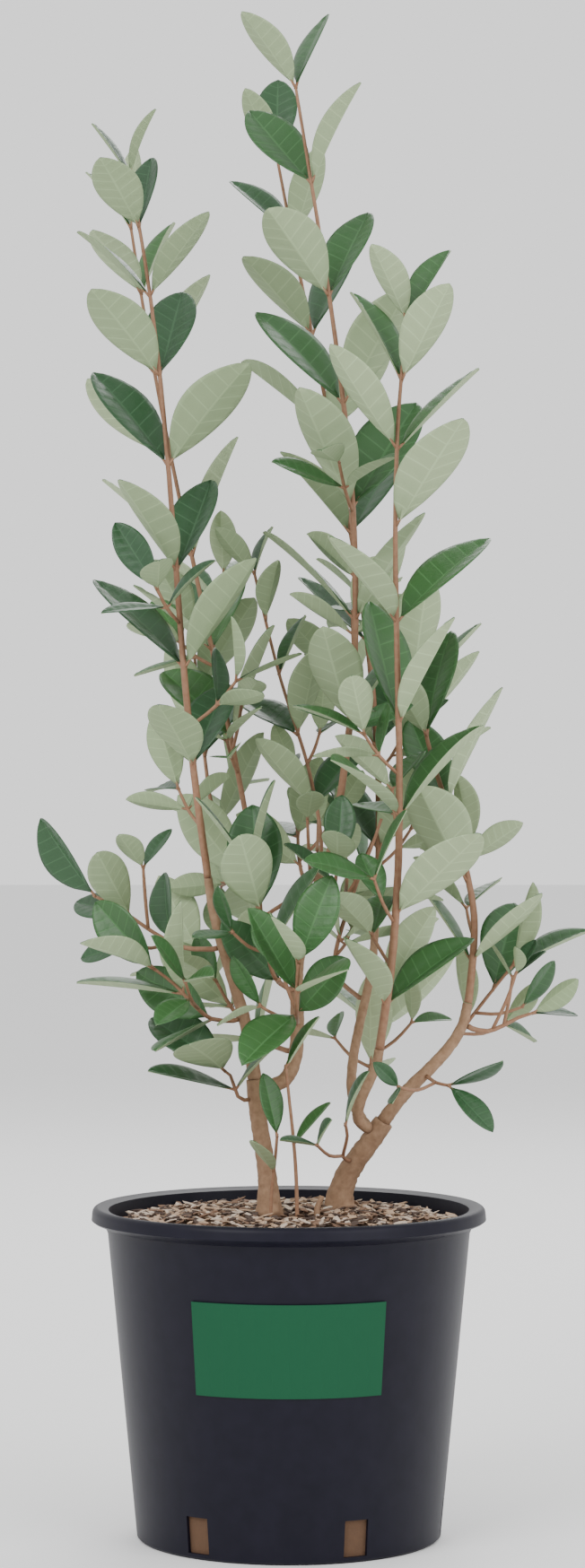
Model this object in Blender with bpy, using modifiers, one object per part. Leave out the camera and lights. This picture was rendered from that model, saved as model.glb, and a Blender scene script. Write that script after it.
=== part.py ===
"""A potted feijoa (pineapple guava) shrub: two leaning trunks, their boughs and the masses of opposite
leaves that they carry, in a round black nursery pot with a blank green label.

Metres, +Z up. The origin is the centre of the pot's flat underside, +X is to the viewer's right and
+Y points away from the viewer. The label faces -Y.
"""
import math
import random
from collections import namedtuple

import bmesh
import bpy
from mathutils import Matrix, Vector
from mathutils.bvhtree import BVHTree

PLANT_NAME = "potted_feijoa_shrub"

# The round nursery pot
POT_HEIGHT = 0.2005
LIP_RADIUS = 0.1195
LIP_HEIGHT = 0.0090
LIP_ROUNDING = 0.0035
WALL_TOP_RADIUS = 0.1108
BASE_RADIUS = 0.0922
BASE_ROUNDING = 0.0015
WALL_THICKNESS = 0.0022
FLOOR_THICKNESS = 0.0030
TURN_STEPS = 48
SLOT_COUNT = 6
SLOT_FIRST_ANGLE = -125.0
SLOT_WIDTH = 0.0150
SLOT_BOTTOM = 0.0036
SLOT_TOP = 0.0255

# The soil in it, nearly level with the rim, with a flat top where the trunks stand
SOIL_TOP = 0.1940
SOIL_EDGE = 0.1885
SOIL_FLAT_RADIUS = 0.0620

# The blank label, wrapped on the front of the pot's wall
LABEL_BOTTOM = 0.0992
LABEL_TOP = 0.1545
LABEL_HALF_ANGLE = 31.8
LABEL_THICKNESS = 0.0006
LABEL_STANDOFF = 0.0005
LABEL_COLUMNS = 12

# Room left between neighbours
CLEAR = 0.0003
SIDE_CLEAR = 0.0004
LEAF_CLEAR = 0.0022
LOWEST_LEAF = 0.2045

# Stems
LIMB_POINTS = 8
LIMB_ROUNDNESS = 2
STEM_SPACING = 0.048
STRAIGHT_START = 0.0030
FLARE_HEIGHT = 0.0110
TIP_RADIUS = 0.0009
TWIG_RADIUS = 0.0011
TWIG_ZONE = 0.42

# Leaves, as shares of their own length or width
PETIOLE = 0.07
LEAF_WIDTH = 0.47
LEAF_THICKNESS = 0.020
ROOT_DEPTH = 0.0008
SOLID_STATIONS = (0.38, 0.73)
SOLID_WIDENING = 1.08
TEST_STATIONS = (0.16, 0.38, 0.60, 0.82, 0.99)

# Changes tried in turn where a leaf would meet something: leaning, turning in degrees, length
LEAF_TRIES = (
    (0, 0, 1.0),
    (-10, 0, 1.0),
    (9, 0, 1.0),
    (0, 22, 1.0),
    (0, -22, 1.0),
    (-16, 0, 0.86),
    (8, 14, 0.82),
    (8, -14, 0.82),
    (-8, 36, 0.80),
    (-8, -36, 0.80),
    (0, 0, 0.66),
)

Limb = namedtuple("Limb", "name points radii")
Leaf = namedtuple("Leaf", "base axis face length width fold bend rank")
Mass = namedtuple("Mass", "name stem twigs leaves")

# Trunks and boughs. Places are in millimetres, radii too. where is 1 at the host's tip, and a pair
# of millimetres for a limb that stands in the soil. flare widens the root.
LimbPlan = namedtuple("LimbPlan", "name host where tip heading foot_radius tip_radius flare")
LIMBS = (
    LimbPlan("left_trunk", "soil", (-12, 5), (-21, 3, 277), (-0.05, 0, 1), 5.6, 4.8, 3.2),
    LimbPlan("right_trunk", "soil", (31, 28), (58, 19, 250), (0.55, -0.1, 1), 7.0, 6.0, 3.0),
    LimbPlan("dead_stub", "soil", (17, -6), (20, -7, 207), (0.25, 0, 1), 1.9, 1.6, 0),
    LimbPlan("left_bough", "left_trunk", 1, (-49, -9, 400), (-0.1, -0.05, 1), 4.2, 2.5, 0),
    LimbPlan("middle_bough", "left_trunk", 0.93, (7, 18, 359), (0.25, 0.12, 1), 4.4, 3.9, 0),
    LimbPlan("centre_bough", "middle_bough", 1, (29, 17, 432), (0.1, 0, 1), 3.6, 2.5, 0),
    LimbPlan("inner_bough", "middle_bough", 0.9, (-22, 36, 414), (-0.28, 0.2, 1), 2.4, 1.9, 0),
    LimbPlan("right_arm", "right_trunk", 1, (110, 26, 322), (0.1, 0, 1), 4.4, 3.0, 0),
    LimbPlan("right_bough", "right_trunk", 0.88, (55, -2, 296), (0.02, -0.35, 1), 3.4, 2.9, 0),
    LimbPlan("back_bough", "right_trunk", 0.84, (54, 76, 366), (0, 0.22, 1), 3.4, 2.4, 0),
)

# Masses of leaves. Places, radii and lengths are in millimetres, angles in degrees. bare is the
# length without leaves at the stem's foot. internode is the space between two pairs and leaf their
# length, and top_internode and top_leaf are the shares of these at the tip. turn is the way that the
# top pair faces, and lean how far leaves lean out from the stem.
MassPlan = namedtuple(
    "MassPlan",
    "name host where tip heading radius bare internode top_internode leaf top_leaf turn lean twigs",
)
MASS_ROWS = (
    ("whip_centre", "centre_bough", 1, (4, 5, 883), (-0.16, 0, 1),
     2.4, 20, 66, 0.92, 84, 0.70, 50, 40, 4),
    ("whip_left", "left_bough", 1, (-96, -25, 825), (-0.20, 0, 1),
     2.4, 8, 61, 0.55, 84, 0.52, -26, 42, 3),
    ("whip_right", "right_bough", 1, (70, -60, 733), (0.12, 0, 1),
     2.8, 16, 58, 0.58, 82, 0.68, 42, 42, 4),
    ("whip_left_back", "inner_bough", 1, (-99, 66, 806), (-0.14, 0, 1),
     1.8, 12, 60, 0.70, 78, 0.70, -40, 42, 4),
    ("whip_centre_back", "back_bough", 1, (-8, 96, 856), (-0.18, 0, 1),
     2.3, 14, 66, 0.80, 80, 0.72, 48, 40, 4),
    ("whip_right_back", "right_arm", 1, (76, 30, 525), (-0.14, 0, 1),
     2.6, 14, 50, 0.80, 84, 0.80, -40, 40, 2),
    ("whip_inner", "inner_bough", 0.5, (-22, 62, 590), (-0.12, 0, 1),
     1.3, 26, 48, 0.60, 58, 0.70, 35, 44, 4),
    ("back_whip_left", "inner_bough", 0.75, (-62, 122, 556), (-0.1, 0.05, 1),
     1.6, 22, 52, 0.7, 76, 0.8, 40, 42, 2),
    ("back_whip_right", "back_bough", 0.68, (84, 128, 520), (0.12, 0.08, 1),
     1.6, 22, 50, 0.7, 78, 0.8, 10, 42, 2),
    ("spray_left_low", "left_bough", 0.3, (-82, -20, 346), (-1, -0.05, 0.5),
     1.5, 14, 27, 0.85, 68, 0.9, 55, 44, 1),
    ("spray_left_far", "left_bough", 0.66, (-120, 16, 389), (-1, 0.05, 0.4),
     1.6, 24, 30, 0.85, 64, 0.9, 35, 44, 2),
    ("spray_left_foot", "left_trunk", 0.86, (-40, -9, 284), (-1, -0.2, 0.2),
     1.3, 8, 18, 0.8, 72, 1.0, 60, 60, 0),
    ("spray_right_far", "right_arm", 0.86, (152, 34, 316), (1, 0.05, 0.12),
     1.8, 14, 22, 0.80, 46, 0.80, 50, 52, 2),
    ("spray_right_high", "right_arm", 0.7, (140, 44, 346), (0.7, 0.1, 0.8),
     1.4, 12, 24, 0.85, 66, 0.90, 60, 40, 2),
    ("spray_right_low", "right_arm", 0.42, (98, -8, 274), (0.8, -0.3, -0.1),
     1.3, 12, 20, 0.85, 50, 0.9, 80, 46, 1),
    ("spray_right_foot", "right_trunk", 0.52, (34, -16, 252), (-0.3, -0.5, 0.6),
     1.2, 8, 20, 0.80, 48, 0.85, 40, 44, 1),
    ("spray_front", "middle_bough", 0.52, (6, -58, 352), (0.1, -0.4, 1),
     1.6, 14, 32, 0.75, 68, 0.8, 50, 44, 2),
    ("spray_back_left", "middle_bough", 0.34, (-58, 92, 352), (-0.5, 0.6, 0.7),
     1.7, 22, 30, 0.8, 66, 0.85, 50, 44, 2),
    ("spray_back_right", "back_bough", 0.3, (66, 142, 340), (0.2, 0.8, 0.6),
     1.7, 20, 30, 0.8, 66, 0.85, 15, 44, 2),
    ("spray_back_middle", "centre_bough", 0.45, (4, 100, 446), (-0.1, 0.6, 1),
     1.5, 18, 34, 0.8, 66, 0.85, 30, 42, 2),
    ("spray_middle_left", "middle_bough", 0.72, (-22, -26, 404), (-0.3, -0.2, 1),
     1.5, 12, 28, 0.85, 66, 0.9, 35, 44, 2),
    ("spray_middle_right", "centre_bough", 0.25, (56, -14, 436), (0.3, -0.2, 1),
     1.5, 12, 28, 0.85, 68, 0.9, -40, 44, 2),
    ("base_shoot_front", "soil", (-11, -15), (-7, -20, 246),
     (0.05, -0.1, 1), 1.1, 8, 24, 0.9, 44, 1.0, -40, 46, 0),
    ("base_shoot_tall", "soil", (5, -17), (-2, -24, 288),
     (-0.1, -0.1, 1), 1.2, 24, 26, 0.9, 46, 0.9, 35, 42, 0),
)
MASSES = [MassPlan(*row) for row in MASS_ROWS]


def blend(a, b, share):
    """The number or point that lies at that share of the way from a to b."""
    return a + (b - a) * share


def across(vector, axis):
    """The part of a vector that is square to an axis, one unit long."""
    return (vector - axis * vector.dot(axis)).normalized()


def turned(side, axis, degrees):
    """A direction square to the axis, turned about it."""
    angle = math.radians(degrees)
    return side * math.cos(angle) + axis.cross(side) * math.sin(angle)


def smooth_stem(start, leave, end, arrive, count):
    """Points of a stem that leaves start along one direction and reaches end along another."""
    first = start + leave * STRAIGHT_START
    reach = (end - first).length * 0.36
    a, b = first + leave * reach, end - arrive * reach
    points = [start]
    for i in range(count):
        t = i / (count - 1)
        u = 1 - t
        points.append(first * u**3 + a * (3 * t * u * u) + b * (3 * t * t * u) + end * t**3)
    return points


def distances(points):
    """Distance of each point from the first, along the stem."""
    total = [0.0]
    for before, after in zip(points, points[1:]):
        total.append(total[-1] + (after - before).length)
    return total


def side_frames(points):
    """A direction square to the stem at each of its points, carried along without twisting."""
    frames = []
    for i in range(len(points)):
        along = (points[min(i + 1, len(points) - 1)] - points[max(i - 1, 0)]).normalized()
        start = Vector((1, 0, 0)) if abs(along.x) < 0.75 else Vector((0, 0, 1))
        frames.append(across(frames[-1] if frames else start, along))
    return frames


def place_on(stem, distance):
    """Point, direction, side and radius at a distance from the foot of a stem."""
    along = distances(stem.points)
    i = 0
    while i < len(along) - 2 and along[i + 1] < distance:
        i += 1
    share = (distance - along[i]) / (along[i + 1] - along[i])
    direction = (stem.points[i + 1] - stem.points[i]).normalized()
    side = across(side_frames(stem.points)[i], direction)
    point = blend(stem.points[i], stem.points[i + 1], share)
    return point, direction, side, blend(stem.radii[i], stem.radii[i + 1], share)


def leave_host(host, where, toward, limbs):
    """Start and leaving direction of a stem in the soil, or at the tip or on the side of its host."""
    if host == "soil":
        return Vector((where[0] / 1000, where[1] / 1000, SOIL_TOP + CLEAR)), Vector((0, 0, 1))
    points = limbs[host].points
    if where == 1:
        leave = (points[-1] - points[-2]).normalized()
        return points[-1] + leave * CLEAR, leave
    point, along, _, radius = place_on(limbs[host], distances(points)[-1] * where)
    leave = across(toward - point, along)
    return point + leave * (radius + SIDE_CLEAR), leave


def grow_limb(plan, limbs):
    """One trunk or bough."""
    end = Vector(plan.tip) / 1000
    start, leave = leave_host(plan.host, plan.where, end, limbs)
    points = smooth_stem(start, leave, end, Vector(plan.heading).normalized(), LIMB_POINTS)
    along = distances(points)
    radii = []
    for distance in along:
        radius = blend(plan.foot_radius, plan.tip_radius, distance / along[-1])
        radii.append((radius + plan.flare * math.exp(-distance / FLARE_HEIGHT)) / 1000)
    return Limb(plan.name, points, radii)


def grow_stem(plan, limbs):
    """The one stem of a mass, on from its bough, trunk or the soil."""
    end = Vector(plan.tip) / 1000
    start, leave = leave_host(plan.host, plan.where, end, limbs)
    count = max(5, round((end - start).length / STEM_SPACING))
    points = smooth_stem(start, leave, end, Vector(plan.heading).normalized(), count)
    along = distances(points)
    radii = [blend(plan.radius / 1000, TIP_RADIUS, distance / along[-1]) for distance in along]
    return Limb(plan.name, points, radii)


def tube_tree(stem, extra, skipped=0.0):
    """Search tree of a stem's four-sided outline, made wider by extra and without its first share."""
    first = skipped * distances(stem.points)[-1]
    start, _, _, radius = place_on(stem, first)
    kept = [i for i, distance in enumerate(distances(stem.points)) if distance > first + 1e-5]
    points = [start] + [stem.points[i] for i in kept]
    radii = [radius] + [stem.radii[i] for i in kept]
    corners = []
    for i, (point, side) in enumerate(zip(points, side_frames(points))):
        along = (points[min(i + 1, len(points) - 1)] - points[max(i - 1, 0)]).normalized()
        for quarter in range(4):
            corners.append(point + turned(side, along, 90 * quarter) * (radii[i] + extra))
    faces = [(0, 1, 2, 3)]
    for i in range(len(points) - 1):
        for j in range(4):
            k = (j + 1) % 4
            faces.append((4 * i + j, 4 * i + k, 4 * i + 4 + k, 4 * i + 4 + j))
    faces.append(tuple(len(corners) - 4 + j for j in range(4)))
    return BVHTree.FromPolygons(corners, faces)


def outline(share):
    """Half width of a leaf, as a share of its widest, at a share of its length."""
    along = (share - PETIOLE) / (1 - PETIOLE)
    return math.sin(math.pi * along**1.16) ** 0.66 if 0 < along < 1 else 0.0


def blade_point(leaf, share, side):
    """Point on a leaf's middle surface: share is 1 at its tip, side is -1 and 1 at its edges."""
    half = side * outline(share) * leaf.width / 2
    point = leaf.base + leaf.axis * (leaf.length * share)
    point -= leaf.face * (leaf.bend * leaf.length * share * share)
    point += leaf.axis.cross(leaf.face) * (half * math.cos(leaf.fold))
    return point + leaf.face * (abs(half) * math.sin(leaf.fold))


def leaf_tree(leaf, extra):
    """Search tree of a leaf's blade, made thicker and wider by extra."""
    aside = leaf.axis.cross(leaf.face)
    corners = []
    for share in TEST_STATIONS:
        left, middle, right = (blade_point(leaf, share, side) for side in (-1, 0, 1))
        up = leaf.face * (leaf.length * LEAF_THICKNESS / 2 + extra)
        wider = aside * extra
        corners += [left - wider + up, middle + up, right + wider + up]
        corners += [right + wider - up, middle - up, left - wider - up]
    faces = [tuple(range(6))]
    for i in range(len(TEST_STATIONS) - 1):
        for j in range(6):
            k = (j + 1) % 6
            faces.append((6 * i + j, 6 * i + k, 6 * i + 6 + k, 6 * i + 6 + j))
    faces.append(tuple(len(corners) - 6 + j for j in range(6)))
    return BVHTree.FromPolygons(corners, faces), min(corner.z for corner in corners)


def grow_twigs(plan, stem, wood, chance):
    """Short twigs in the axils of the lower part of a mass's stem, clear of all other wood."""
    total = distances(stem.points)[-1]
    bare = plan.bare / 1000
    twigs = []
    for i in range(plan.twigs):
        share = blend(0.02, TWIG_ZONE, (i + chance.uniform(0.2, 0.8)) / plan.twigs)
        point, along, side, _ = place_on(stem, blend(bare, total, share))
        first_turn, lean = chance.uniform(0, 360), math.radians(chance.uniform(42, 58))
        half = chance.uniform(0.013, 0.023)
        for step in range(6):
            out = turned(side, along, first_turn + 60 * step)
            axis = along * math.cos(lean) + out * math.sin(lean)
            lift = (axis + Vector((0, 0, 0.35))).normalized()
            points = [point, point + axis * half, point + (axis + lift) * half]
            twig = Limb(f"{plan.name}_twig", points, [TWIG_RADIUS, TWIG_RADIUS, TIP_RADIUS])
            tree = tube_tree(twig, LEAF_CLEAR, 0.3)
            if not any(tree.overlap(other) for other in wood):
                twigs.append(twig)
                wood.append(tube_tree(twig, LEAF_CLEAR))
                break
    return twigs


def pair_sites(plan, stem, twigs, chance):
    """The places of a mass's pairs: stem, distance from its foot, turn, leaning, leaf length, rank."""
    sites = []
    total = distances(stem.points)[-1]
    down, rank = 0.0015, 0
    while total - down > plan.bare / 1000:
        length = plan.leaf / 1000 * min(1.0, plan.top_leaf + 0.11 * rank)
        near_foot = total - down < (plan.bare + plan.internode) / 1000
        length *= (0.84 if near_foot else 1.0) * chance.uniform(0.9, 1.1)
        lean = plan.lean * (0.66, 0.86, 1.0)[min(rank, 2)] + chance.uniform(-6, 6)
        sites.append((stem, total - down, plan.turn + 90 * rank, lean, length, rank))
        step = plan.internode / 1000 * min(1.0, plan.top_internode + 0.13 * rank)
        down, rank = down + step * chance.uniform(0.94, 1.06), rank + 1
    for twig in twigs:
        reach, turn = distances(twig.points)[-1], chance.uniform(0, 180)
        for order, share in enumerate((0.97, 0.52)):
            length = plan.leaf / 1000 * chance.uniform(0.46, 0.62)
            sites.append((twig, reach * share, turn + 90 * order, 40 + 12 * order, length, rank))
    return sites


def grow_leaf(site, opposite, change, traits):
    """One leaf of a pair, leaned, turned and shortened by the change."""
    stem, distance, turn, lean, length, rank = site
    lean_change, turn_change, length_change = change
    lean_jitter, turn_jitter, roll, width, fold, bend = traits
    point, along, side, _ = place_on(stem, distance)
    out = turned(side, along, turn + 180 * opposite + turn_jitter + turn_change)
    angle = math.radians(lean + lean_jitter + lean_change)
    axis = along * math.cos(angle) + out * math.sin(angle)
    inward = along * math.sin(angle) - out * math.cos(angle)
    face = turned(across(inward + Vector((0, 0, 0.6)), axis), axis, roll)
    length *= length_change
    base = point - axis * ROOT_DEPTH
    return Leaf(base, axis, face, length, length * LEAF_WIDTH * width, math.radians(fold), bend, rank)


def grow_leaves(plan, stem, twigs, wood, others, chance):
    """The leaves of a mass. One that would meet wood or another leaf is moved, and else skipped."""
    leaves = []
    for site in pair_sites(plan, stem, twigs, chance):
        for opposite in (0, 1):
            traits = (
                chance.uniform(-5, 5),
                chance.uniform(-12, 12),
                chance.uniform(-26, 26),
                chance.uniform(0.90, 1.12),
                chance.uniform(6, 26),
                chance.uniform(-0.05, 0.14),
            )
            for change in LEAF_TRIES:
                leaf = grow_leaf(site, opposite, change, traits)
                tree, lowest = leaf_tree(leaf, LEAF_CLEAR)
                middle = blade_point(leaf, 0.5, 0)
                near = [o for o in others if (o[0] - middle).length < (leaf.length + o[1]) * 0.62]
                if lowest < LOWEST_LEAF or any(tree.overlap(other) for other in wood):
                    continue
                if not any(tree.overlap(other[2]) for other in near):
                    leaves.append(leaf)
                    others.append((middle, leaf.length, leaf_tree(leaf, 0)[0]))
                    break
    return leaves


def grow_plant():
    """All limbs, then the masses: every stem first, then the twigs, then the leaves."""
    limbs = {}
    for plan in LIMBS:
        limbs[plan.name] = grow_limb(plan, limbs)
    stems = [grow_stem(plan, limbs) for plan in MASSES]
    wood = [tube_tree(stem, LEAF_CLEAR / 2) for stem in (*limbs.values(), *stems)]
    chances = [random.Random(plan.name) for plan in MASSES]
    twigs = [grow_twigs(plan, stem, wood, c) for plan, stem, c in zip(MASSES, stems, chances)]
    others, masses = [], []
    for plan, stem, own, chance in zip(MASSES, stems, twigs, chances):
        masses.append(Mass(plan.name, stem, own, grow_leaves(plan, stem, own, wood, others, chance)))
    return list(limbs.values()), masses


def finish(obj, colour, roughness, collection):
    """Gives a part its own material and puts it in its collection."""
    material = bpy.data.materials.new(obj.name)
    material.use_nodes = True
    shader = material.node_tree.nodes["Principled BSDF"]
    shader.inputs["Base Color"].default_value = (*colour, 1)
    shader.inputs["Roughness"].default_value = roughness
    shader.inputs["Metallic"].default_value = 0
    obj.data.materials.clear()
    obj.data.materials.append(material)
    for old in list(obj.users_collection):
        old.objects.unlink(obj)
    collection.objects.link(obj)
    return obj


def new_mesh_object(name, bm):
    """An object in the scene made from a bmesh."""
    mesh = bpy.data.meshes.new(name)
    bm.to_mesh(mesh)
    bm.free()
    obj = bpy.data.objects.new(name, mesh)
    bpy.context.scene.collection.objects.link(obj)
    return obj


def wall_radius(height):
    """Outer radius of the pot's wall at a height."""
    return blend(BASE_RADIUS, WALL_TOP_RADIUS, height / (POT_HEIGHT - LIP_HEIGHT))


def make_turned(name, profile):
    """A turned shape from its half profile, which runs down its outer side."""
    bm = bmesh.new()
    corners = [bm.verts.new((radius, 0, height)) for radius, height in profile]
    for before, after in zip(corners, corners[1:]):
        bm.edges.new((before, after))
    obj = new_mesh_object(name, bm)
    screw = obj.modifiers.new("turn", "SCREW")
    screw.steps = TURN_STEPS
    screw.render_steps = TURN_STEPS
    screw.use_merge_vertices = True
    screw.merge_threshold = 0.00001
    return obj


def make_pot(parts, cutters):
    """The pot: a tapered wall with a rounded overhanging lip, a flat floor and six drain slots."""
    lip_bottom = POT_HEIGHT - LIP_HEIGHT
    inner_top = WALL_TOP_RADIUS - WALL_THICKNESS
    profile = [
        (0, FLOOR_THICKNESS),
        (wall_radius(FLOOR_THICKNESS) - WALL_THICKNESS, FLOOR_THICKNESS),
        (inner_top, lip_bottom),
        (inner_top + 0.0010, POT_HEIGHT - 0.0018),
    ]
    for i in range(5):
        angle = math.radians(90 - 22.5 * i)
        radius = LIP_RADIUS - LIP_ROUNDING + LIP_ROUNDING * math.cos(angle)
        profile.append((radius, POT_HEIGHT - LIP_ROUNDING + LIP_ROUNDING * math.sin(angle)))
    profile += [
        (LIP_RADIUS + 0.0004, lip_bottom + 0.0012),
        (LIP_RADIUS - 0.0012, lip_bottom),
        (WALL_TOP_RADIUS + 0.0006, lip_bottom - 0.0030),
        (WALL_TOP_RADIUS - 0.0008, lip_bottom - 0.0070),
        (wall_radius(BASE_ROUNDING), BASE_ROUNDING),
        (BASE_RADIUS - BASE_ROUNDING, 0),
        (0, 0),
    ]
    pot = make_turned("pot", profile)
    middle = (SLOT_BOTTOM + SLOT_TOP) / 2
    for i in range(SLOT_COUNT):
        angle = SLOT_FIRST_ANGLE + i * 360 / SLOT_COUNT
        bpy.ops.mesh.primitive_cube_add(size=1)
        cutter = bpy.context.object
        cutter.name = f"slot_cutter_{i + 1}"
        place = Matrix.Rotation(math.radians(angle), 4, "Z") @ Matrix.Translation((BASE_RADIUS, 0, middle))
        cutter.matrix_world = place @ Matrix.Diagonal((0.016, SLOT_WIDTH, SLOT_TOP - SLOT_BOTTOM, 1))
        cutter.hide_render = True
        cutter.display_type = "WIRE"
        for old in list(cutter.users_collection):
            old.objects.unlink(cutter)
        cutters.objects.link(cutter)
    cut = pot.modifiers.new("slots", "BOOLEAN")
    cut.operation = "DIFFERENCE"
    cut.operand_type = "COLLECTION"
    cut.collection = cutters
    finish(pot, (0.016, 0.015, 0.024), 0.5, parts)


def make_soil(parts):
    """The soil that fills the pot, with a low flat mound."""
    floor = FLOOR_THICKNESS + CLEAR
    gap = WALL_THICKNESS + CLEAR * 1.2
    profile = [
        (0, SOIL_TOP),
        (SOIL_FLAT_RADIUS, SOIL_TOP),
        (wall_radius(SOIL_EDGE) - gap, SOIL_EDGE),
        (wall_radius(floor) - gap, floor),
        (0, floor),
    ]
    finish(make_turned("soil", profile), (0.13, 0.08, 0.05), 0.95, parts)


def make_label(parts):
    """The blank green label, a thin plate wrapped on the front of the wall."""
    bm = bmesh.new()
    bmesh.ops.create_grid(bm, x_segments=LABEL_COLUMNS, y_segments=1, size=1)
    for corner in bm.verts:
        angle = math.radians(-90 + corner.co.x * LABEL_HALF_ANGLE)
        height = blend(LABEL_BOTTOM, LABEL_TOP, (corner.co.y + 1) / 2)
        radius = wall_radius(height) + LABEL_STANDOFF
        corner.co = (radius * math.cos(angle), radius * math.sin(angle), height)
    label = new_mesh_object("label", bm)
    thickness = label.modifiers.new("thickness", "SOLIDIFY")
    thickness.thickness = LABEL_THICKNESS
    thickness.offset = 1
    finish(label, (0.025, 0.13, 0.06), 0.45, parts)


def make_section(guides):
    """The three-sided section of the thin stems, one metre from its middle to its corners."""
    curve = bpy.data.curves.new("stem_section", "CURVE")
    curve.dimensions = "2D"
    spline = curve.splines.new("POLY")
    spline.points.add(2)
    for i, corner in enumerate(spline.points):
        angle = math.radians(120 * i)
        corner.co = (math.cos(angle), math.sin(angle), 0, 1)
    spline.use_cyclic_u = True
    section = bpy.data.objects.new("stem_section", curve)
    section.hide_render = True
    section.display_type = "WIRE"
    guides.objects.link(section)
    return section


def make_tube(stem, section=None):
    """A tapered stem as a curve with filled caps: round, or with the given section."""
    curve = bpy.data.curves.new(stem.name, "CURVE")
    curve.dimensions = "3D"
    curve.use_fill_caps = True
    if section:
        curve.bevel_mode = "OBJECT"
        curve.bevel_object = section
    else:
        curve.bevel_depth = 1
        curve.bevel_resolution = LIMB_ROUNDNESS
    spline = curve.splines.new("POLY")
    spline.points.add(len(stem.points) - 1)
    for knot, point, radius in zip(spline.points, stem.points, stem.radii):
        knot.co = (*point, 1)
        knot.radius = radius
    obj = bpy.data.objects.new(stem.name, curve)
    bpy.context.scene.collection.objects.link(obj)
    return obj


def meshed(obj):
    """A mesh object in place of a curve, with its caps welded."""
    bpy.context.view_layer.update()
    evaluated = obj.evaluated_get(bpy.context.evaluated_depsgraph_get())
    mesh = bpy.data.meshes.new_from_object(evaluated)
    bm = bmesh.new()
    bm.from_mesh(mesh)
    bpy.data.meshes.remove(mesh)
    bmesh.ops.remove_doubles(bm, verts=bm.verts, dist=0.000001)
    bmesh.ops.recalc_face_normals(bm, faces=bm.faces)
    bmesh.ops.triangulate(bm, faces=bm.faces)
    name, matrix = obj.name, obj.matrix_world.copy()
    bpy.data.objects.remove(obj)
    made = new_mesh_object(name, bm)
    made.matrix_world = matrix
    return made


def make_leaf(leaf):
    """A leaf as a loft: its root, two sections with a ridge along the midrib below, and its tip."""
    bm = bmesh.new()
    root, tip = bm.verts.new(leaf.base), bm.verts.new(blade_point(leaf, 1, 0))
    rings = []
    for share in SOLID_STATIONS:
        left, middle, right = (blade_point(leaf, share, side * SOLID_WIDENING) for side in (-1, 0, 1))
        ridge = middle - leaf.face * (leaf.length * LEAF_THICKNESS)
        rings.append([bm.verts.new(corner) for corner in (left, ridge, right)])
    for j in range(3):
        k = (j + 1) % 3
        bm.faces.new((rings[0][j], rings[0][k], root))
        bm.faces.new((rings[0][k], rings[0][j], rings[1][j], rings[1][k]))
        bm.faces.new((rings[1][k], rings[1][j], tip))
    bmesh.ops.recalc_face_normals(bm, faces=bm.faces)
    bmesh.ops.triangulate(bm, faces=bm.faces)
    return new_mesh_object("leaf", bm)


def islands(bm):
    """The connected bodies of a mesh, as lists of faces."""
    left, found = set(bm.faces), []
    while left:
        body, waiting = [], [left.pop()]
        while waiting:
            face = waiting.pop()
            body.append(face)
            for edge in face.edges:
                for other in edge.link_faces:
                    if other in left:
                        left.remove(other)
                        waiting.append(other)
        found.append(body)
    return found


def make_mass(mass, section, colour, parts):
    """A mass: its twigs and leaves joined to its stem, with hollows and scraps taken away."""
    stem = meshed(make_tube(mass.stem, section))
    pieces = bpy.data.collections.new(mass.name + "_pieces")
    bpy.context.scene.collection.children.link(pieces)
    twigs = [meshed(make_tube(twig, section)) for twig in mass.twigs]
    for piece in twigs + [make_leaf(leaf) for leaf in mass.leaves]:
        bpy.context.scene.collection.objects.unlink(piece)
        pieces.objects.link(piece)
    join = stem.modifiers.new("join", "BOOLEAN")
    join.operation = "UNION"
    join.operand_type = "COLLECTION"
    join.collection = pieces
    bpy.context.view_layer.update()
    evaluated = stem.evaluated_get(bpy.context.evaluated_depsgraph_get())
    mesh = bpy.data.meshes.new_from_object(evaluated)
    bm = bmesh.new()
    bm.from_mesh(mesh)
    bpy.data.meshes.remove(mesh)
    for piece in [stem, *pieces.objects]:
        bpy.data.objects.remove(piece)
    bpy.data.collections.remove(pieces)
    bodies = sorted(islands(bm), key=len)
    bmesh.ops.delete(bm, geom=[face for body in bodies[:-1] for face in body], context="FACES")
    bmesh.ops.triangulate(bm, faces=bm.faces)
    finish(new_mesh_object(mass.name, bm), colour, 0.5, parts)


def main():
    """Builds the whole part."""
    for old in list(bpy.data.objects):
        bpy.data.objects.remove(old)
    parts = bpy.data.collections.new(PLANT_NAME)
    cutters = bpy.data.collections.new("cutters")
    guides = bpy.data.collections.new("guides")
    for collection in (parts, cutters, guides):
        bpy.context.scene.collection.children.link(collection)
    make_pot(parts, cutters)
    make_soil(parts)
    make_label(parts)
    limbs, masses = grow_plant()
    for limb in limbs:
        finish(make_tube(limb), (0.26, 0.15, 0.09), 0.85, parts)
    section = make_section(guides)
    for mass in masses:
        tint = random.Random(mass.name).uniform(0.8, 1.2)
        make_mass(mass, section, (0.11 * tint, 0.20 * tint, 0.08 * tint), parts)


main()
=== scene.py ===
"""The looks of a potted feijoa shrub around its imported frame: bark, leaves with their veins, bark
chips, the pot and its blank label, in soft studio light.

The shrub is grown again by the same rule and sizes as its solids, so each leaf lies where its solid is.
"""
import math
import random
from collections import namedtuple

import bmesh
import bpy
from mathutils import Matrix, Vector
from mathutils.bvhtree import BVHTree

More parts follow.
